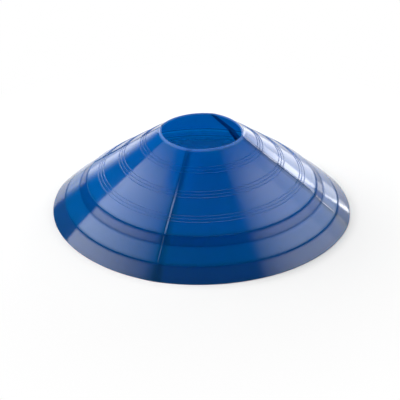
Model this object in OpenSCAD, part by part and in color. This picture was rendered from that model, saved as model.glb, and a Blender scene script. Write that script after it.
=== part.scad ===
// Low flexible marker cone: four moulded quarters joined along four fold lines.
// Origin at the centre of the foot, +Z up, folds on the X and Y axes, millimetres.

/* [Cone] */
// Diameter over the foot, from fold to fold
base_d = 200; // [184:1:230]
// Height from the floor to the top of the rim
cone_h = 56; // [50:0.5:62]
// Diameter of the top opening at the middle of its lip, from fold to fold
rim_d = 54.8; // [46:0.2:64]
// Thickness of the moulded wall
wall = 0.65; // [0.5:0.05:0.9]
// How far the centre of each quarter lies behind the cone's centre, which gives the four soft corners
quarter_setback = 4; // [1:0.5:8]
// Radius of the round lip on the rim
lip_r = 0.6; // [0.5:0.05:0.8]

/* [Steps] */
// Width of the flange, from the foot in to the second step
flange_w = 8.8; // [7:0.1:12]
// Height of the flange at its top
flange_h = 7.4; // [6:0.1:9]
// Width of the band between the two steps
band_w = 9.9; // [8:0.1:13]
// How far the band falls between the two steps
band_fall = 7.7; // [6:0.1:9]
// Outward run of the riser under the first step
riser_w = 4.9; // [3:0.1:6]
// Height of the riser under the first step
riser_h = 4.4; // [3:0.1:5.5]
// Height of the sharp drop at the top of the first step
drop1_h = 0.7; // [0.5:0.1:1.2]
// Height of the sharp drop at the second step
drop2_h = 0.6; // [0.4:0.1:0.9]
// Outward run of each sharp drop
drop_w = 0.2; // [0.1:0.05:0.4]

/* [Ribs] */
// Width of one ring rib on the upper wall
rib_w = 0.8; // [0.5:0.05:1.2]
// Height of one ring rib above the wall
rib_h = 0.3; // [0.15:0.05:0.4]
// Distance from one rib to the next in a group, along the slope
rib_pitch = 2.1; // [1.6:0.1:3]
// Number of ribs in a group
ribs_per_group = 3; // [1:1:4]

/* [Folds] */
// Width of the thin strip along each fold
fold_w = 2.4; // [2:0.1:3.2]
// Thickness of the thin strip
fold_t = 0.35; // [0.25:0.05:0.45]
// Diameter of the bead that runs along the strip
bead_d = 1.4; // [1:0.1:1.8]
// Free gap between a strip and the quarter that swings on it
fold_gap = 0.15; // [0.1:0.05:0.3]
// How far each fold turns either way, in degrees
fold_swing = 8; // [4:0.5:10]

/* [Hidden] */

shell_blue = [0.01, 0.29, 0.60];
fold_blue = [0.02, 0.20, 0.44];

// Extra turn that the edge of a quarter is cut back by, in degrees
swing_margin = 0.6;
// Places of the rib groups between the rim and the first step
rib_group_shares = [0.238, 0.527, 0.809];
// Where the bead starts and stops on each straight part of the wall: the upper wall, the riser and the band
upper_bead_shares = [0.31, 0.985];
riser_bead_shares = [0.15, 0.85];
band_bead_shares = [0.08, 0.95];
// How far cuts run past what they cut
overrun = 1;

base_r = base_d / 2;
// The middle of the lip, which is the top end of the fold line
rim_r = rim_d / 2;
rim_z = cone_h - lip_r;
step1_r = base_r - flange_w - band_w - riser_w;
step2_r = base_r - flange_w;
reach = base_r + cone_h;

// Middle of the wall in the plane of a fold, as radius and height, from the rim to the foot
step2_z = flange_h + drop2_h;
riser_foot_z = step2_z + band_fall;
step1_z = riser_foot_z + riser_h + drop1_h;
wall_path = [
    [rim_r, rim_z],
    [step1_r, step1_z],
    [step1_r + drop_w, step1_z - drop1_h],
    [step1_r + riser_w, riser_foot_z],
    [step2_r, step2_z],
    [step2_r + drop_w, flange_h],
    [base_r, 0]
];
// A fold turns about the straight middle line of the upper wall, where its bead runs
fold_tilt = atan2(rim_z - step1_z, step1_r - rim_r);

// The same path carried on past the foot, where the floor plane trims it
last = len(wall_path) - 1;
flange_run = wall_path[last] - wall_path[last - 1];
cut_path = concat([for (i = [0 : last - 1]) wall_path[i]],
                  [wall_path[last] + overrun * flange_run / norm(flange_run)]);

// Unit normal of a line, on its upper side
function upper_normal(a, b) = let (run = (b - a) / norm(b - a)) [-run.y, run.x];
// A path moved sideways by a distance, with mitred corners
function moved(path, by) = [
    for (i = [0 : len(path) - 1])
        let (before = upper_normal(path[max(i - 1, 0)], path[max(i, 1)]),
             after = upper_normal(path[min(i, len(path) - 2)], path[min(i + 1, len(path) - 1)]))
            path[i] + by * (before + after) / (1 + before * after)
];
function reversed(path) = [for (i = [len(path) - 1 : -1 : 0]) path[i]];
// Closed outline of a wall of some thickness round a path
function walled(path, t) = concat(moved(path, t / 2), reversed(moved(path, -t / 2)));

// A quarter turns about its own centre, so radii in the plane of a fold are carried to that centre
setback = quarter_setback / sqrt(2);
function swung(p) = [norm([setback, p.x + setback]), p.y];

// A place on the upper wall: a share of its run from the rim, a distance along it, a height above its middle
upper_run = wall_path[1] - wall_path[0];
upper_dir = upper_run / norm(upper_run);
function on_upper(share, along, up) =
    wall_path[0] + share * upper_run + along * upper_dir + up * upper_normal(wall_path[0], wall_path[1]);
// A place along any straight part of the path, as a share of that part
function on_part(i, share) = wall_path[i] + share * (wall_path[i + 1] - wall_path[i]);

// A rib is the top of a circle that stands rib_h over the wall and is rib_w wide there
rib_r = (rib_w * rib_w / 4 + rib_h * rib_h) / (2 * rib_h);
rib_half_angle = asin(rib_w / (2 * rib_r));
rib_arc_steps = 4;
function rib_arc(share, along) = [
    for (k = [0 : rib_arc_steps])
        let (a = rib_half_angle * (2 * k / rib_arc_steps - 1))
            on_upper(share, along + rib_r * sin(a), wall / 2 + rib_h - rib_r + rib_r * cos(a))
];
function rib_arcs() = [
    for (share = rib_group_shares, i = [0 : ribs_per_group - 1])
        each rib_arc(share, (i - (ribs_per_group - 1) / 2) * rib_pitch)
];

// The lip is a round bead on the end of the wall, from the wall's inner side over the top to its outer side
lip_open_angle = asin(wall / (2 * lip_r));
lip_arc_steps = 16;
function lip_arc() = [
    for (k = [0 : lip_arc_steps])
        let (a = lip_open_angle + (360 - 2 * lip_open_angle) * k / lip_arc_steps)
            on_upper(0, lip_r * cos(a), -lip_r * sin(a))
];

// Section through a quarter: lip, ribbed upper wall, outer side down past the foot, inner side back up
outer_path = moved(cut_path, wall / 2);
inner_path = moved(cut_path, -wall / 2);
module panel_section() {
    outline = concat(lip_arc(), rib_arcs(), [for (i = [1 : last]) outer_path[i]],
                     [for (i = [last : -1 : 1]) inner_path[i]]);
    intersection() {
        polygon([for (p = outline) swung(p)]);
        square([swung([base_r, 0]).x, cone_h]);
    }
}

// The quarter between the front and the right fold
module quarter() {
    seat = fold_w / 2;
    free = seat + fold_gap;
    difference() {
        translate([-setback, setback, 0]) rotate_extrude($fn = 240) panel_section();
        // the far side of the right fold, so the quarter ends on the seat of that fold's strip
        translate([-reach, -seat, -overrun]) cube([2 * reach, reach, 2 * reach]);
        // the far side of the front fold, cut back both ways so the quarter can swing on that fold's strip
        for (turn = [-1, 1])
            translate([free, -rim_r, rim_z]) rotate([fold_tilt, 0, 0])
                rotate([0, turn * (fold_swing + swing_margin), 0])
                    translate([-2 * reach, -2 * reach, -reach]) cube([2 * reach, 4 * reach, 2 * reach]);
    }
}

// A round rod along one straight part of the path, in the plane of the front fold
module rod(part, shares, d) {
    from = on_part(part, shares[0]);
    run = on_part(part, shares[1]) - from;
    translate([0, -from.x, from.y]) rotate([90 + atan2(-run.y, run.x), 0, 0])
        cylinder(h = norm(run), d = d, $fn = 32);
}

// The thin strip along the front fold, with its beads
module fold_strip() {
    intersection() {
        union() {
            rotate([90, 0, -90]) linear_extrude(fold_w, center = true) polygon(walled(cut_path, fold_t));
            rod(0, upper_bead_shares, bead_d);
            rod(2, riser_bead_shares, bead_d);
            rod(3, band_bead_shares, bead_d);
        }
        translate([-fold_w, -base_r, 0]) cube([2 * fold_w, base_r, cone_h]);
    }
}

module panel(turn) { color(shell_blue) rotate([0, 0, turn]) quarter(); }
module fold(turn) { color(fold_blue) rotate([0, 0, turn]) fold_strip(); }

module front_right_panel() { panel(0); }
module back_right_panel() { panel(90); }
module back_left_panel() { panel(180); }
module front_left_panel() { panel(270); }
module front_fold() { fold(0); }
module right_fold() { fold(90); }
module back_fold() { fold(180); }
module left_fold() { fold(270); }

front_right_panel();
back_right_panel();
back_left_panel();
front_left_panel();
front_fold();
right_fold();
back_fold();
left_fold();
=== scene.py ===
from math import asin, cos, hypot, pi, radians, sin, sqrt, tan

import bmesh
import bpy
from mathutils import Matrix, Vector


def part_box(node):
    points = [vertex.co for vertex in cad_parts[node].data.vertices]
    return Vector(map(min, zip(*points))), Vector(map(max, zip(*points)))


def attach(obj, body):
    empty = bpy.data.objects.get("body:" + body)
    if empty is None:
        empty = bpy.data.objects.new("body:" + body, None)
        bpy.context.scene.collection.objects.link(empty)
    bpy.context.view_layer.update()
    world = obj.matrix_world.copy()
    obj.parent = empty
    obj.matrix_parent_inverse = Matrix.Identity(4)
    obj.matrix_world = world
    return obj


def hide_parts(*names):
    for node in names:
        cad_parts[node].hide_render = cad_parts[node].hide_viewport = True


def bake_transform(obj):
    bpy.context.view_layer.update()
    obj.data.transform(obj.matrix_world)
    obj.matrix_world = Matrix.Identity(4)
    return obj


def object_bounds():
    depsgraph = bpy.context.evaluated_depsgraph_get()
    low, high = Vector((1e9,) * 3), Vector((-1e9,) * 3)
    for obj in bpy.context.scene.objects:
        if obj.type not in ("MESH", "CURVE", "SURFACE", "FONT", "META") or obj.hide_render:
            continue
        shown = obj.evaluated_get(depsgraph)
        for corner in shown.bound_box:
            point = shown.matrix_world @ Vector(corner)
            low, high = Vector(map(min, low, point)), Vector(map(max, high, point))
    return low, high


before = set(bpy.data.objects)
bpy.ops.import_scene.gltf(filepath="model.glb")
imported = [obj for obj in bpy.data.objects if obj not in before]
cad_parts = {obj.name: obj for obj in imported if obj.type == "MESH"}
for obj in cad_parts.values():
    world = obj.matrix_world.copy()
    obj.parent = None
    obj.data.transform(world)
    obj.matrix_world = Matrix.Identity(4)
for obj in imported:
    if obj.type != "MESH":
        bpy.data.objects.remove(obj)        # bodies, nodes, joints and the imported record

cadBox = [list(corner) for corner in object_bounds()]
mm = 0.001


# Wires and nodes

class Wire:
    # one output socket, with the operators that the node maths here uses

    def __init__(self, graph, socket):
        self.graph = graph
        self.socket = socket

    def __add__(self, other):
        return self.graph.math("ADD", self, other)

    def __sub__(self, other):
        return self.graph.math("SUBTRACT", self, other)

    def __rsub__(self, other):
        return self.graph.math("SUBTRACT", other, self)

    def __mul__(self, other):
        return self.graph.math("MULTIPLY", self, other)

    def __truediv__(self, other):
        return self.graph.math("DIVIDE", self, other)

    def __pow__(self, other):
        return self.graph.math("POWER", self, other)

    def __mod__(self, other):
        return self.graph.math("FLOORED_MODULO", self, other)

    def __abs__(self):
        return self.graph.math("ABSOLUTE", self)

    def lowest(self, other):
        return self.graph.math("MINIMUM", self, other)

    def highest(self, other):
        return self.graph.math("MAXIMUM", self, other)

    def root(self):
        return self.graph.math("SQRT", self)

    def over(self, start, end):        # 0 before start, 1 after end, smooth between
        return self.graph.node("ShaderNodeMapRange", {"interpolation_type": "SMOOTHSTEP"},
                               {"Value": self, "From Min": start, "From Max": end})

    def near(self, place, reach):        # 1 at a place, 0 from reach away
        return 1.0 - abs(self - place).over(0.0, reach)


class Graph:
    # a node tree that is written as expressions

    def __init__(self, tree):
        self.tree = tree

    def node(self, kind, settings=None, values=None, out=0):
        made = self.tree.nodes.new(kind)
        for name, value in (settings or {}).items():
            setattr(made, name, value)
        for name, value in (values or {}).items():
            if isinstance(value, Wire):
                self.tree.links.new(value.socket, made.inputs[name])
            else:
                made.inputs[name].default_value = value
        return made if out is None else Wire(self, made.outputs[out])

    def math(self, operation, *values):
        return self.node("ShaderNodeMath", {"operation": operation}, dict(enumerate(values)))

    def parts(self, wire):
        made = self.node("ShaderNodeSeparateXYZ", None, {0: wire}, None)
        return [Wire(self, socket) for socket in made.outputs]

    def vector(self, x, y, z):
        return self.node("ShaderNodeCombineXYZ", None, {"X": x, "Y": y, "Z": z})

    def blend(self, factor, a, b):        # colours through a Mix node
        return self.node("ShaderNodeMix", {"data_type": "RGBA"}, {0: factor, 6: a, 7: b}, 2)

    def finish(self, kind, name, wire):
        self.node(kind, None, {name: wire}, None)


def linear(r, g, b):        # a screen colour, 0 to 255, as the linear colour that Blender takes
    return tuple(c / 12.92 if c <= 0.04045 else ((c + 0.055) / 1.055) ** 2.4
                 for c in (r / 255, g / 255, b / 255)) + (1.0,)


# Sizes of the cone, in metres

cone = {
    "baseR": -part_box("front_fold")[0].y,
    "height": cadBox[1][2],
    "rimR": 27.4 * mm,
    "wall": 0.65 * mm,
    "setback": 4 * mm / sqrt(2),        # from the cone's axis to a quarter's own, along x and y
    "lipR": 0.6 * mm,
    "flangeW": 8.8 * mm,
    "flangeH": 7.4 * mm,
    "bandW": 9.9 * mm,
    "bandFall": 7.7 * mm,
    "riserW": 4.9 * mm,
    "riserH": 4.4 * mm,
    "drop1": 0.7 * mm,
    "drop2": 0.6 * mm,
    "dropW": 0.2 * mm,
    "cornerR": 0.35 * mm,
}
ribs = {
    "width": 0.8 * mm,
    "height": 0.3 * mm,
    "pitch": 2.1 * mm,
    "count": 3,
    "groupShares": [0.238, 0.527, 0.809],
    "foot": 0.62,                 # from a rib's middle to a wall point beside it, as a share of its width
}
folds = {
    "halfWidth": 3.4 * mm,        # half of the strip that bends
    "openSide": 0.9 * mm,         # its width on the free side of the back fold, which has no joint
    "tongue": 1.85 * mm,          # how far it carries on there inside the next quarter's wall, at the foot
    "tongueTaper": 0.0245,        # how much less that is for each unit of height
    "tongueThin": 0.25 * mm,      # how much thinner it is there, on each side
    "groove": 0.16 * mm,          # how deep the thin line beside the bead lies
    "grooveHalf": 0.16,           # half of its width and its place, as shares of the half width
    "grooveAt": {"front": -0.4, "right": 0.45, "back": -0.4, "left": 0.4},
    "grooveLow": 0.4,             # what is left of the groove below the first step
    "ridgeH": {"front": 0.0, "right": 0.3 * mm, "back": 0.0, "left": 0.1 * mm},
    "beadHalf": 0.8 * mm,
    "beadPower": 1.5,             # how softly it runs out to its sides
    "beadH": {"front": 0.13 * mm, "right": 0.35 * mm, "back": 0.25 * mm, "left": 0.25 * mm},
    "beadLow": {"front": 0.0, "right": 0.4, "back": 0.2, "left": 0.2},        # the same for the bead
    "beadShares": [0.44, 0.985],        # where it runs on the upper wall, the riser and the band
    "riserBeadShares": [0.15, 0.85],
    "bandBeadShares": [0.08, 0.95],
}
# how far the soft wall is out of true, from a little over the foot upwards
wobble = {"size": 0.25 * mm, "scale": 18.0, "detail": 1.0, "seed": 4.7, "start": 1 * mm, "growth": 12 * mm}
fineness = {
    "lipSteps": 14,
    "ribSteps": 6,
    "cornerSteps": 5,
    "cornerShare": 0.45,          # the most of a side that a rounded corner takes
    "wallStep": 3 * mm,
    "lowerStep": 2.5 * mm,
    "quarterColumns": 100,
    "stripColumns": 41,
    "tongueColumns": 2,
    "merge": 0.002 * mm,
    "sharpAbove": radians(50),
}
columnStep = 2.0 / (fineness["stripColumns"] - 1)        # between columns of a strip that is 2 wide


# The section of the wall, as radius and height

def foldLine():
    c = cone
    step1R = c["baseR"] - c["flangeW"] - c["bandW"] - c["riserW"]
    step2R = c["baseR"] - c["flangeW"]
    step2Z = c["flangeH"] + c["drop2"]
    riserZ = step2Z + c["bandFall"]
    step1Z = riserZ + c["riserH"] + c["drop1"]
    return [Vector(p) for p in (
        (c["rimR"], c["height"] - c["lipR"]), (step1R, step1Z), (step1R + c["dropW"], step1Z - c["drop1"]),
        (step1R + c["riserW"], riserZ), (step2R, step2Z), (step2R + c["dropW"], c["flangeH"]),
        (c["baseR"], 0.0))]


def upper(a, b):        # unit normal of a line, on its outer side
    run = (b - a).normalized()
    return Vector((-run.y, run.x))


def moved(path, by):        # a path moved sideways, with mitred corners
    out = []
    for i, p in enumerate(path):
        before = upper(path[max(i - 1, 0)], path[max(i, 1)])
        after = upper(path[min(i, len(path) - 2)], path[min(i + 1, len(path) - 1)])
        out.append(p + by * (before + after) / (1 + before.dot(after)))
    return out


def rounded(path):        # the inner corners of an open path become arcs
    share, steps = fineness["cornerShare"], fineness["cornerSteps"]
    out = [path[0]]
    for a, b, c in zip(path, path[1:], path[2:]):
        inDir, outDir = (b - a).normalized(), (c - b).normalized()
        wanted = cone["cornerR"] * tan(inDir.angle(outDir) / 2)
        reach = min(wanted, (b - a).length * share, (c - b).length * share)
        start, end = b - inDir * reach, b + outDir * reach
        for k in range(steps + 1):
            t = k / steps
            out.append(start * (1 - t) ** 2 + b * 2 * t * (1 - t) + end * t * t)
    out.append(path[-1])
    return out


def divided(path, longest):        # long stretches get points of their own
    out = []
    for a, b in zip(path, path[1:]):
        count = max(1, round((b - a).length / longest))
        out += [a.lerp(b, k / count) for k in range(count)]
    return out + [path[-1]]


def ribbedWall(start, along, up, run):        # outer side of the upper wall, with its ribs
    r = ribs
    steps = fineness["ribSteps"]
    ribR = (r["width"] ** 2 / 4 + r["height"] ** 2) / (2 * r["height"])
    ribHalf = asin(r["width"] / 2 / ribR)
    out = []
    for share in r["groupShares"]:
        for i in range(r["count"]):
            place = share * run + (i - (r["count"] - 1) / 2) * r["pitch"]
            out.append(start + along * (place - r["width"] * r["foot"]))
            for k in range(steps + 1):
                a = ribHalf * (2 * k / steps - 1)
                rise = r["height"] - ribR + ribR * cos(a)
                out.append(start + along * (place + ribR * sin(a)) + up * rise)
            out.append(start + along * (place + r["width"] * r["foot"]))
    return out


def sectionOutline():
    c = cone
    path = foldLine()
    run = path[1] - path[0]
    along, up = run.normalized(), upper(path[0], path[1])
    outer, inner = moved(path, c["wall"] / 2), moved(path, -c["wall"] / 2)
    lipOpen = asin(c["wall"] / 2 / c["lipR"])
    lip = []
    for k in range(fineness["lipSteps"] + 1):
        a = lipOpen + (2 * pi - 2 * lipOpen) * k / fineness["lipSteps"]
        lip.append(path[0] + along * c["lipR"] * cos(a) - up * c["lipR"] * sin(a))
    wallTop = [lip[-1]] + ribbedWall(outer[0], along, up, run.length)
    # the foot is a short upright edge with a flat underside
    last, end = outer[-2], outer[-1]
    slope = (end.y - last.y) / (end.x - last.x)
    edge = Vector((c["baseR"], last.y + slope * (c["baseR"] - last.x)))
    footIn = Vector((c["baseR"] - c["wall"] / 2 * sqrt(1 + 1 / slope ** 2), 0))
    lower = rounded([wallTop[-1]] + outer[1:-1] + [edge, Vector((c["baseR"], 0)), footIn])
    under = rounded([footIn] + inner[-2:0:-1] + [lip[0]])
    return (lip, divided(wallTop, fineness["wallStep"]), divided(lower, fineness["lowerStep"]),
            divided(under, fineness["wallStep"]))


lipPart, wallPart, lowerPart, underPart = sectionOutline()
outline = lipPart[:-1] + wallPart[:-1] + lowerPart[:-1] + underPart[:-1]
rows = len(outline)
print("section:", rows, "points")


def shareBetween(p, a, b):
    run = b - a
    return (p - a).dot(run) / run.length_squared


def onBead(p, path):        # whether a point of the outer side is on a part of the wall that has a bead
    parts = [(0, folds["beadShares"]), (2, folds["riserBeadShares"]), (3, folds["bandBeadShares"])]
    return any(path[k].x - mm < p.x < path[k + 1].x + mm
               and low < shareBetween(p, path[k], path[k + 1]) < high
               for k, (low, high) in parts)


def makeSection():
    # the outline as a mesh of loose points that the node trees read row by row
    mesh = bpy.data.meshes.new("section")
    mesh.from_pydata([(p.x, 0.0, p.y) for p in outline], [], [])
    piece = bpy.data.objects.new("section", mesh)
    bpy.context.scene.collection.objects.link(piece)
    path = foldLine()
    step1R, step2R = path[1].x, path[4].x
    outerRows = range(len(lipPart) - 1, rows - len(underPart) + 1)
    normals, grooves, beads, lows, inners = [], [], [], [], []
    for i, p in enumerate(outline):
        side = upper(outline[i - 1], outline[(i + 1) % rows])
        depth = 1.0 if p.x < step1R else folds["grooveLow"] if p.x < step2R else 0.0
        normals += [side.x, 0.0, side.y]
        grooves.append(depth if i in outerRows else 0.0)
        beads.append(1.0 if i in outerRows and onBead(p, path) else 0.0)
        lows.append(0.0 if p.x < step1R else 1.0)
        inners.append(0.0 if i in outerRows or i < len(lipPart) else 1.0)
    for name, kind, field, values in (("side", "FLOAT_VECTOR", "vector", normals),
                                      ("groove", "FLOAT", "value", grooves),
                                      ("bead", "FLOAT", "value", beads),
                                      ("low", "FLOAT", "value", lows),
                                      ("inner", "FLOAT", "value", inners)):
        mesh.attributes.new(name, kind, "POINT").data.foreach_set(field, values)
    return piece


section = makeSection()


# The node trees that sweep the section into quarters and fold strips

def newTree(name, inputs):
    tree = bpy.data.node_groups.new(name, "GeometryNodeTree")
    tree.is_modifier = True
    tree.interface.new_socket("Geometry", in_out="OUTPUT", socket_type="NodeSocketGeometry")
    kinds = {"Section": "NodeSocketObject", "Columns": "NodeSocketInt", "Material": "NodeSocketMaterial"}
    ids = {}
    for label in inputs:
        kind = kinds.get(label, "NodeSocketFloat")
        ids[label] = tree.interface.new_socket(label, in_out="INPUT", socket_type=kind).identifier
    graph = Graph(tree)
    entry = graph.node("NodeGroupInput", None, None, None)
    given = {label: Wire(graph, entry.outputs[label]) for label in inputs}
    return graph, given, ids


def sectionRows(graph, given):
    # a flat grid whose rows are laid along the outline; returns it, the share across and a reader of rows
    grid = graph.node("GeometryNodeMeshGrid", None, {
        "Size X": 1.0, "Size Y": 1.0, "Vertices X": given["Columns"], "Vertices Y": rows + 1})
    x, y, unused = graph.parts(graph.node("GeometryNodeInputPosition"))
    index = graph.math("FLOOR", ((y + 0.5) * rows + 0.5) % rows)
    points = graph.node("GeometryNodeObjectInfo", {"transform_space": "ORIGINAL"},
                        {"Object": given["Section"]}, "Geometry")

    def read(name):
        kind = "FLOAT_VECTOR" if name in ("position", "side") else "FLOAT"
        field = graph.node("GeometryNodeInputNamedAttribute", {"data_type": kind}, {"Name": name})
        return graph.node("GeometryNodeSampleIndex", {"data_type": kind},
                          {"Geometry": points, "Value": field, "Index": index})

    return grid, x + 0.5, read


def finishTree(graph, given, mesh, place, inner):
    # turned to its side of the cone, moved a little as a soft moulding is, closed and dressed
    marked = graph.node("GeometryNodeStoreNamedAttribute", {"data_type": "FLOAT", "domain": "POINT"},
                        {"Geometry": mesh, "Name": "inner", "Value": inner})
    shaped = graph.node("GeometryNodeSetPosition", None, {"Geometry": marked, "Position": place})
    turned = graph.node("GeometryNodeTransform", None, {
        "Geometry": shaped, "Rotation": graph.vector(0.0, 0.0, given["Turn"])})
    spot = graph.node("GeometryNodeInputPosition")
    z = graph.parts(spot)[2]
    dx, dy, unused = graph.parts(graph.node("ShaderNodeTexNoise", {"noise_dimensions": "4D"}, {
        "Vector": spot, "W": wobble["seed"], "Scale": wobble["scale"], "Detail": wobble["detail"]}, "Color"))
    raised = ((z - wobble["start"]) / wobble["growth"]).highest(0.0).lowest(1.0)
    amount = raised * wobble["size"] * 2
    uneven = graph.node("GeometryNodeSetPosition", None, {
        "Geometry": turned, "Offset": graph.vector((dx - 0.5) * amount, (dy - 0.5) * amount, 0.0)})
    joined = graph.node("GeometryNodeMergeByDistance", None,
                        {"Geometry": uneven, "Distance": fineness["merge"]})
    real = graph.node("GeometryNodeRealizeInstances", None, {"Geometry": joined})
    dressed = graph.node("GeometryNodeSetMaterial", None, {"Geometry": real, "Material": given["Material"]})
    graph.finish("NodeGroupOutput", "Geometry", dressed)


def quarterTree():
    graph, given, ids = newTree("wall quarter", [
        "Section", "Columns", "Turn", "Setback", "Start", "End", "Material"])
    mesh, share, read = sectionRows(graph, given)
    r, unused, z = graph.parts(read("position"))
    back = given["Setback"]
    swing = ((r + back) ** 2.0 + back ** 2.0).root()
    first = graph.math("ARCSINE", (back + given["Start"]) / swing)
    last = pi / 2 - graph.math("ARCSINE", (back + given["End"]) / swing)
    angle = first + share * (last - first)
    x = swing * graph.math("SINE", angle) - back
    y = back - swing * graph.math("COSINE", angle)
    finishTree(graph, given, mesh, graph.vector(x, y, z), read("inner"))
    return graph.tree, ids


def stripTree():
    graph, given, ids = newTree("fold strip", [
        "Section", "Columns", "Turn", "Setback", "Strip", "Last Side", "Tongue", "Tongue Taper",
        "Tongue Thin", "Tongue Share", "Groove", "Groove At", "Groove Half", "Ridge", "Bead", "Bead Half",
        "Bead Low", "Material"])
    mesh, share, read = sectionRows(graph, given)
    r, unused, z = graph.parts(read("position"))
    back = given["Setback"]
    # place is -1 to 1 over the strip, and the tongue's columns lie past 1
    place = share * (given["Tongue Share"] + 2.0) - 1.0
    past = (place - (1.0 + columnStep)).highest(0.0) / columnStep
    across = (place.lowest(0.0) * given["Strip"] + place.highest(0.0).lowest(1.0) * given["Last Side"]
              + past * (given["Tongue"] - z * given["Tongue Taper"]))
    side = across / given["Strip"]
    swing = ((r + back) ** 2.0 + back ** 2.0).root()
    reach = (swing ** 2.0 - (abs(across) + back) ** 2.0).root() - back
    out, unused, up = graph.parts(read("side"))
    line = 1.0 - abs(side - given["Groove At"]).over(0.0, given["Groove Half"])
    bend = given["Ridge"] * (1.0 - abs(side)) - given["Groove"] * line
    hump = (1.0 - (across / given["Bead Half"]) ** 2.0).highest(0.0) ** folds["beadPower"]
    bead = read("bead") * given["Bead"] * (1.0 - read("low") * (1.0 - given["Bead Low"]))
    # the tongue is thin from its first column on
    thinner = place.over(1.0, 1.0 + columnStep * 0.8) * given["Tongue Thin"]
    lift = bead * hump + read("groove") * bend - thinner
    spot = graph.vector(across, (reach + out * lift) * -1.0, z + up * lift)
    finishTree(graph, given, mesh, spot, read("inner"))
    return graph.tree, ids


def runTree(name, tree, ids, values):
    # the tree's result as a plain closed mesh
    holder = bpy.data.objects.new(name, bpy.data.meshes.new(name))
    bpy.context.scene.collection.objects.link(holder)
    modifier = holder.modifiers.new(name, "NODES")
    modifier.node_group = tree
    for label, value in values.items():
        modifier[ids[label]] = value
    holder.update_tag()
    bpy.context.view_layer.update()
    evaluated = holder.evaluated_get(bpy.context.evaluated_depsgraph_get())
    mesh = bpy.data.meshes.new_from_object(evaluated)
    holder.modifiers.remove(modifier)
    holder.data = mesh
    closeEnds(mesh)
    return holder


def closeEnds(mesh):
    work = bmesh.new()
    work.from_mesh(mesh)
    ends = [edge for edge in work.edges if edge.is_boundary]
    if ends:
        bmesh.ops.edgeloop_fill(work, edges=ends)
    bmesh.ops.recalc_face_normals(work, faces=work.faces)
    for face in work.faces:
        face.smooth = len(face.verts) == 4        # all but the two end faces
    work.to_mesh(mesh)
    work.free()
    mesh.set_sharp_from_angle(angle=fineness["sharpAbove"])
    print(mesh.name, len(mesh.polygons), "faces")


# Material of the wall

# where a change starts and ends, by height over the floor in mm
zones = {
    "top": (21.0, 50.0),
    "riser": (20.4, 19.8),
    "band": (16.2, 15.4),
    "flange": (7.8, 7.2),
    # where the painted highlight on the lip begins and is full
    "lip": (54.6, 55.3),
    # where the painted shade low on the inner wall begins and is full
    "lowWall": (20.0, 14.0),
    # where the painted shade on the gloss towards the rim begins and is full
    "topGlossShade": (33.0, 57.0),
    # dark lines along the steps: painted shade in their crevices
    "creases": [(20.4, 1.5, 1.0), (7.8, 1.4, 1.0), (15.8, 1.1, 0.6)],        # middle, reach and strength
}
# the band along a fold and the place by the front fold where the gloss is taken down as painted shade,
# by distance in mm from the fold, or from the axis for the fade and the growth, and by height for that
# place's reach upwards
bands = {
    "outer": (0.4, 3.6),
    "outerFade": (44.0, 62.0),
    "outerFaded": 0.6,
    "innerHalf": 1.2,
    "innerGrowth": 0.03,
    "innerEdge": (0.65, 1.0),
    "glossShadeAside": (4.0, 13.0),
    "glossShadeUp": (33.0, 43.0),
    "glossShadeFront": (0.0, -5.0),
}
shellLook = {
    "top": linear(0, 110, 182),
    "wall": linear(0, 121, 193),
    # the riser, band and flange are darker than the upper wall: painted shade low on the wall
    "riser": linear(1, 89, 145),
    "band": linear(0, 114, 176),
    "flange": linear(30, 90, 137),
    # dark blue of the painted shade at the steps and along the folds
    "creaseShade": linear(2, 30, 70),
    # pale: the lip's painted highlight, and the faint random cloud of the plastic
    "pale": linear(120, 165, 230),
    "creaseShare": 0.35,
    "creaseInner": 0.6,        # more of it inside
    "creaseDark": 0.8,
    "foldShare": 0.4,
    "foldDark": 0.85,
    "lowInnerShade": 0.12,           # painted shade: the inner wall is darker low down, near the floor
    "cloudScale": 22.0,
    "cloudDetail": 3.0,
    "cloudSpan": (0.35, 0.75),
    "cloudShare": 0.02,
    "creaseDull": 1.0,
    "riserDull": 0.2,
    "innerDull": 0.85,
    "glossShadeDull": 0.9,
    "topDull": 0.85,
    "grazing": (0.1, 0.3),     # a gloss this strong still shines near the rim, where painted shade takes the gloss down
    "roughness": 0.07,
    "cloudRoughness": 0.05,
    "bodyRoughness": 0.6,
    "fineScale": 900.0,
    "fineDetail": 4.0,
    "fineStrength": 0.06,
    "fineDepth": 0.05 * mm,
    "ior": 1.55,
    "thin": 0.6,               # share of the light that goes on through a face
    "through": (0.0, 0.55, 1.0, 1.0),
    # the dim light through, for the thicker folds and for painted shade inside
    "foldThrough": (0.0, 0.1, 0.3, 1.0),
}
foldLook = dict(shellLook, roughness=0.06)


def newMaterial(name):
    material = bpy.data.materials.new(name)
    material.use_nodes = True
    material.node_tree.nodes.clear()
    return material, Graph(material.node_tree)


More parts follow.
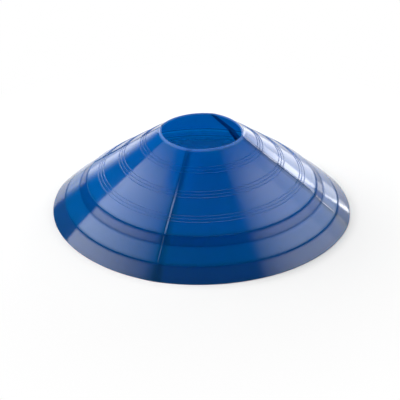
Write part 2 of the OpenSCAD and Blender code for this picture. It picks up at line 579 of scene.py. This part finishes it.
def blueShell(name, look):
    # thin coloured plastic: part of the light comes back, part goes through, and a gloss lies on top
    material, graph = newMaterial(name)
    spot = graph.node("ShaderNodeTexCoord", None, None, "Object")
    x, y, z = graph.parts(spot)
    height = z / mm
    inner = graph.node("ShaderNodeAttribute", {"attribute_name": "inner"}, None, "Fac")
    cloud = graph.node("ShaderNodeTexNoise", None,
                       {"Vector": spot, "Scale": look["cloudScale"], "Detail": look["cloudDetail"]})
    lines = [height.near(place, reach) * strength for place, reach, strength in zones["creases"]]
    creaseShade = lines[0].highest(lines[1]).highest(lines[2])
    colour = graph.blend(height.over(*zones["top"]), look["wall"], look["top"])
    # darker colours towards the foot: painted shade on the lower wall
    for key in ("riser", "band", "flange"):
        colour = graph.blend(height.over(*zones[key]), colour, look[key])
    # the step lines darken the colour, more on the inner side: painted shade in the crevices
    colour = graph.blend(creaseShade * (inner * look["creaseInner"] + look["creaseShare"]), colour, look["creaseShade"])
    # the lip is paler: a painted highlight along the rim
    colour = graph.blend(height.over(*zones["lip"]), colour, look["pale"])
    colour = graph.blend(cloud.over(*look["cloudSpan"]) * look["cloudShare"], colour, look["pale"])
    # along a fold the wall is darker, outside towards the rim and inside in a band that widens downwards:
    # painted shade, and inside partly the thicker fold too
    out = (x * x + y * y).root() / mm
    aside = abs(x).lowest(abs(y)) / mm
    faded = out.over(*bands["outerFade"]) * bands["outerFaded"]
    outerBand = (1.0 - aside.over(*bands["outer"])) * (1.0 - inner) * (1.0 - faded)
    innerHalf = out * bands["innerGrowth"] + bands["innerHalf"]
    innerBand = (1.0 - (aside / innerHalf).over(*bands["innerEdge"])) * inner
    colour = graph.blend(outerBand.highest(innerBand) * look["foldShare"], colour, look["creaseShade"])
    # creases, the riser and the inner side shine less; by the front fold, high on its front half, the gloss
    # is taken down as painted shade
    riser = height.over(*zones["band"][::-1]) * height.over(*zones["riser"])
    frontGlossShade = ((1.0 - (abs(x) / mm).over(*bands["glossShadeAside"])) * height.over(*bands["glossShadeUp"])
              * (y / mm).over(*bands["glossShadeFront"]))
    gloss = (1.0 - creaseShade * look["creaseDull"]) * (1.0 - riser * look["riserDull"])
    gloss = gloss * (1.0 - inner * look["innerDull"]) * (1.0 - frontGlossShade * look["glossShadeDull"])
    fine = graph.node("ShaderNodeTexNoise", None,
                      {"Vector": spot, "Scale": look["fineScale"], "Detail": look["fineDetail"]})
    bump = graph.node("ShaderNodeBump", None, {
        "Strength": look["fineStrength"], "Distance": look["fineDepth"], "Height": fine}, "Normal")
    body = graph.node("ShaderNodeBsdfPrincipled", None, {
        "Base Color": colour, "Roughness": look["bodyRoughness"], "Specular IOR Level": 0.0,
        "Normal": bump})
    clear, dim = [graph.node("ShaderNodeBsdfTranslucent", None, {"Color": look[key], "Normal": bump})
                  for key in ("through", "foldThrough")]
    # the light through is dimmed low on the inner wall and at the step lines inside as painted shade, and
    # along the folds inside for the thicker fold and as painted shade
    lowShadeInside = height.over(*zones["lowWall"]) * inner * look["lowInnerShade"]
    veil = (innerBand * look["foldDark"]).highest(lowShadeInside).highest(creaseShade * inner * look["creaseDark"])
    through = graph.node("ShaderNodeMixShader", None, {0: veil, 1: clear, 2: dim})
    wall = graph.node("ShaderNodeMixShader", None, {0: look["thin"], 1: body, 2: through})
    shine = graph.node("ShaderNodeBsdfGlossy", None, {
        "Color": (1, 1, 1, 1), "Roughness": cloud * look["cloudRoughness"] + look["roughness"],
        "Normal": bump})
    edge = graph.node("ShaderNodeFresnel", None, {"IOR": look["ior"], "Normal": bump})
    # towards the rim the gloss is taken down as painted shade, so it shines there only at a low angle
    topGlossShade = height.over(*zones["topGlossShade"]) * (1.0 - edge.over(*look["grazing"])) * look["topDull"]
    shader = graph.node("ShaderNodeMixShader", None, {0: edge * gloss * (1.0 - topGlossShade), 1: wall, 2: shine})
    graph.finish("ShaderNodeOutputMaterial", "Surface", shader)
    return material


shellBlue = blueShell("blue polyethylene", shellLook)
foldBlue = blueShell("thin fold polyethylene", foldLook)
print("plastic made")


# Quarters and folds

# each starts at the fold on its clockwise side, seen from above, which is the open one for the back left
quarters = [("front_right", 0), ("back_right", 90), ("back_left", 180), ("front_left", 270)]
wallTree, wallIds = quarterTree()
for name, turn in quarters:
    skin = runTree(name + "_wall", wallTree, wallIds, {
        "Section": section, "Columns": fineness["quarterColumns"], "Turn": radians(turn),
        "Setback": cone["setback"], "End": folds["halfWidth"], "Material": shellBlue,
        "Start": folds["openSide"] if name == "back_left" else folds["halfWidth"]})
    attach(skin, name + "_quarter")
    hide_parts(name + "_panel")

closedSide = {
    "Columns": fineness["stripColumns"], "Last Side": folds["halfWidth"],
    "Tongue": 0.0, "Tongue Taper": 0.0, "Tongue Thin": 0.0, "Tongue Share": 0.0}
openSide = {
    "Columns": fineness["stripColumns"] + fineness["tongueColumns"], "Last Side": folds["openSide"],
    "Tongue": folds["tongue"], "Tongue Taper": folds["tongueTaper"], "Tongue Thin": folds["tongueThin"],
    "Tongue Share": columnStep * fineness["tongueColumns"]}
foldTree, foldIds = stripTree()
strips = [("front", 0, "front_left", "front_right"), ("right", 90, "front_right", "back_right"),
          ("back", 180, "back_right", None), ("left", 270, "back_left", "front_left")]
for name, turn, before, after in strips:
    strip = runTree(name + "_fold_strip", foldTree, foldIds, {
        "Section": section, "Turn": radians(turn), "Setback": cone["setback"],
        "Strip": folds["halfWidth"], **(closedSide if after else openSide), "Groove": folds["groove"],
        "Groove At": folds["grooveAt"][name], "Groove Half": folds["grooveHalf"],
        "Ridge": folds["ridgeH"][name], "Bead": folds["beadH"][name], "Bead Half": folds["beadHalf"],
        "Bead Low": folds["beadLow"][name], "Material": foldBlue})
    if after:
        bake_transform(strip)
    else:
        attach(strip, before + "_quarter")
    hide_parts(name + "_fold")
bpy.data.objects.remove(section)
print("walls and folds made")


# Studio

photoTurn = radians(16.54)        # how far the camera stands round from the front fold
studio = {
    "lens": 125.7,
    "sensor": 36.0,
    "back": 820.0 * mm,
    "up": 459.3 * mm,
    "aim": (-0.9 * mm, 0, 4.2 * mm),
    "centre": (0, 0, 30 * mm),
    "fill": 0.12,
}
# Each sheet: direction from the cone as azimuth, elevation and distance, seen from the camera, then its
# reach to the left, right, down and up, and how far its right edge leans. A lit one has its brightest glow,
# where white is 1, the slant along which it brightens, and where on that slant it starts, is at its edge
# and is full.
softboxes = {
    "left softbox": {
        "at": (-94, 40, 1.2), "reach": (-0.8, 0.73, -0.62, 0.75), "lean": 0.6,
        "glow": 3.0, "slant": (1, -2), "span": (-0.72, -0.52, 0.3)},
    "right softbox": {
        "at": (96, 38, 1.2), "reach": (-0.42, 0.8, -0.6, 0.75), "lean": 0,
        "glow": 2.5, "slant": (-1, -2), "span": (-0.68, -0.52, 0.0)},
    "right side panel": {
        "at": (129, 25, 1.4), "reach": (-0.34, 0.36, -0.4, 0.4), "lean": 0,
        "glow": 1.9, "slant": (1, 0), "span": (-2, -1, -1)},
    "back right panel": {
        "at": (154, 6, 1.0), "reach": (-0.35, 0.24, -0.13, 0.24), "lean": 0,
        "glow": 7.5, "slant": (1, 0), "span": (-0.38, -0.36, 0.35)},
    "low back card": {
        "at": (157, 0, 0.27), "reach": (-0.13, 0.13, -0.029, 0.04), "lean": 0,
        "glow": 2.6, "slant": (1, 0), "span": (-2, -1, -1)},
    "left wall": {
        "at": (-142, 14, 1.5), "reach": (-0.75, 0.7, -0.4, 0.7), "lean": 0,
        "glow": 3.0, "slant": (1, 0), "span": (0.0, 0.3, 0.6)},
}
ceiling = {"at": (0, 90, 1.9), "reach": (-2.6, 2.6, -2.6, 2.6), "lean": 0, "grey": 0.01}
leftFill = {"at": (-118, 30, 1.2), "size": 0.9, "watts": 11.0}
ground = {
    "half": 8.0,
    "grey": 0.92,
    "whiteNear": (0.0995, 0.108),        # from the axis in metres: half of the white, then the rest
    "whiteFar": (0.12, 0.24),
}


def fromPhoto(x, y, z):        # a place as the camera's viewer sees it, in the part's frame
    return Vector((x * cos(photoTurn) - y * sin(photoTurn), x * sin(photoTurn) + y * cos(photoTurn), z))


def addCamera():
    data = bpy.data.cameras.new("camera")
    data.lens = studio["lens"]
    data.sensor_width = studio["sensor"]
    camera = bpy.data.objects.new("camera", data)
    bpy.context.scene.collection.objects.link(camera)
    camera.location = fromPhoto(0, -studio["back"], studio["up"])
    look = fromPhoto(*studio["aim"]) - camera.location
    camera.rotation_euler = look.to_track_quat("-Z", "Y").to_euler()
    bpy.context.scene.camera = camera


def addSheet(name, sheet, material):
    # a flat sheet that faces the cone; its UV is the place on it in metres
    azimuth, elevation, distance = sheet["at"]
    a, e = radians(azimuth), radians(elevation)
    out = Vector((sin(a) * cos(e), -cos(a) * cos(e), sin(e)))
    across = Vector((-cos(a), -sin(a), 0))
    up = Vector((-sin(a) * sin(e), cos(a) * sin(e), cos(e)))
    left, right, down, top = sheet["reach"]
    lean = sheet["lean"]
    spots = [(left, down), (right + lean * down, down), (right + lean * top, top), (left, top)]
    middle = Vector(studio["centre"]) + out * distance
    mesh = bpy.data.meshes.new(name)
    mesh.from_pydata([fromPhoto(*(middle + across * u + up * v)) for u, v in spots], [], [(0, 1, 2, 3)])
    layer = mesh.uv_layers.new(name="place")
    layer.data.foreach_set("uv", [value for spot in spots for value in spot])
    mesh.materials.append(material)
    made = bpy.data.objects.new(name, mesh)
    bpy.context.scene.collection.objects.link(made)
    made.visible_camera = False
    return made


def glowing(name, sheet):
    # a softbox's face, brighter towards one side
    material, graph = newMaterial(name)
    u, v, unused = graph.parts(graph.node("ShaderNodeTexCoord", None, None, "UV"))
    slant = sheet["slant"]
    place = (u * slant[0] + v * slant[1]) / hypot(*slant)
    start, edge, full = sheet["span"]
    share = place.over(start, edge) * place.over(2 * start - edge, full)
    shader = graph.node("ShaderNodeBsdfPrincipled", None, {
        "Base Color": (0, 0, 0, 1), "Roughness": 1.0, "Specular IOR Level": 0.0,
        "Emission Color": graph.vector(share, share, share), "Emission Strength": sheet["glow"]})
    graph.finish("ShaderNodeOutputMaterial", "Surface", shader)
    return material


def addLamp():
    # soft light from the left that leaves no highlight
    data = bpy.data.lights.new("left fill", "AREA")
    data.size = leftFill["size"]
    data.energy = leftFill["watts"]
    lamp = bpy.data.objects.new("left fill", data)
    bpy.context.scene.collection.objects.link(lamp)
    azimuth, elevation, distance = leftFill["at"]
    a, e = radians(azimuth), radians(elevation)
    out = fromPhoto(sin(a) * cos(e), -cos(a) * cos(e), sin(e))
    lamp.location = Vector(studio["centre"]) + out * distance
    lamp.rotation_euler = out.to_track_quat("Z", "Y").to_euler()
    lamp.visible_glossy = False
    lamp.visible_camera = False


def plain(name, grey):
    material, graph = newMaterial(name)
    shader = graph.node("ShaderNodeBsdfDiffuse", None, {"Color": (grey, grey, grey, 1)})
    graph.finish("ShaderNodeOutputMaterial", "Surface", shader)
    return material


def seenRays(graph):        # 1 for the rays that show the background, straight or in a gloss
    ray = graph.node("ShaderNodeLightPath", None, None, None)
    camera, glossy, through = [Wire(graph, ray.outputs["Is %s Ray" % kind])
                               for kind in ("Camera", "Glossy", "Transmission")]
    return camera.highest(glossy).highest(through)


def addWorld():
    world = bpy.data.worlds.new("studio")
    bpy.context.scene.world = world
    world.use_nodes = True
    world.node_tree.nodes.clear()
    graph = Graph(world.node_tree)
    white, dim = [graph.node("ShaderNodeBackground", None, {"Color": (1, 1, 1, 1), "Strength": strength})
                  for strength in (1.0, studio["fill"])]
    shader = graph.node("ShaderNodeMixShader", None, {0: seenRays(graph), 1: dim, 2: white})
    graph.finish("ShaderNodeOutputWorld", "Surface", shader)


def addFloor():
    # matt round the cone, where its shadow falls, and white further out
    half, grey = ground["half"], ground["grey"]
    mesh = bpy.data.meshes.new("floor")
    mesh.from_pydata([(-half, -half, 0), (half, -half, 0), (half, half, 0), (-half, half, 0)], [],
                     [(0, 1, 2, 3)])
    floor = bpy.data.objects.new("floor", mesh)
    bpy.context.scene.collection.objects.link(floor)
    material, graph = newMaterial("pale floor")
    x, y, unused = graph.parts(graph.node("ShaderNodeTexCoord", None, None, "Object"))
    out = (x * x + y * y).root()
    away = out.over(*ground["whiteNear"]) * 0.5 + out.over(*ground["whiteFar"]) * 0.5
    matt = graph.node("ShaderNodeBsdfDiffuse", None, {"Color": (grey, grey, grey, 1)})
    white = graph.node("ShaderNodeEmission", None, {"Color": (1, 1, 1, 1), "Strength": 1.0})
    shader = graph.node("ShaderNodeMixShader", None, {0: seenRays(graph) * away, 1: matt, 2: white})
    graph.finish("ShaderNodeOutputMaterial", "Surface", shader)
    mesh.materials.append(material)


addCamera()
for name, sheet in softboxes.items():
    addSheet(name, sheet, glowing(name, sheet))
addSheet("dark ceiling", ceiling, plain("dark cloth", ceiling["grey"])).visible_diffuse = False
addLamp()
addWorld()
addFloor()
bpy.context.scene.view_settings.view_transform = "Standard"
print("studio made")
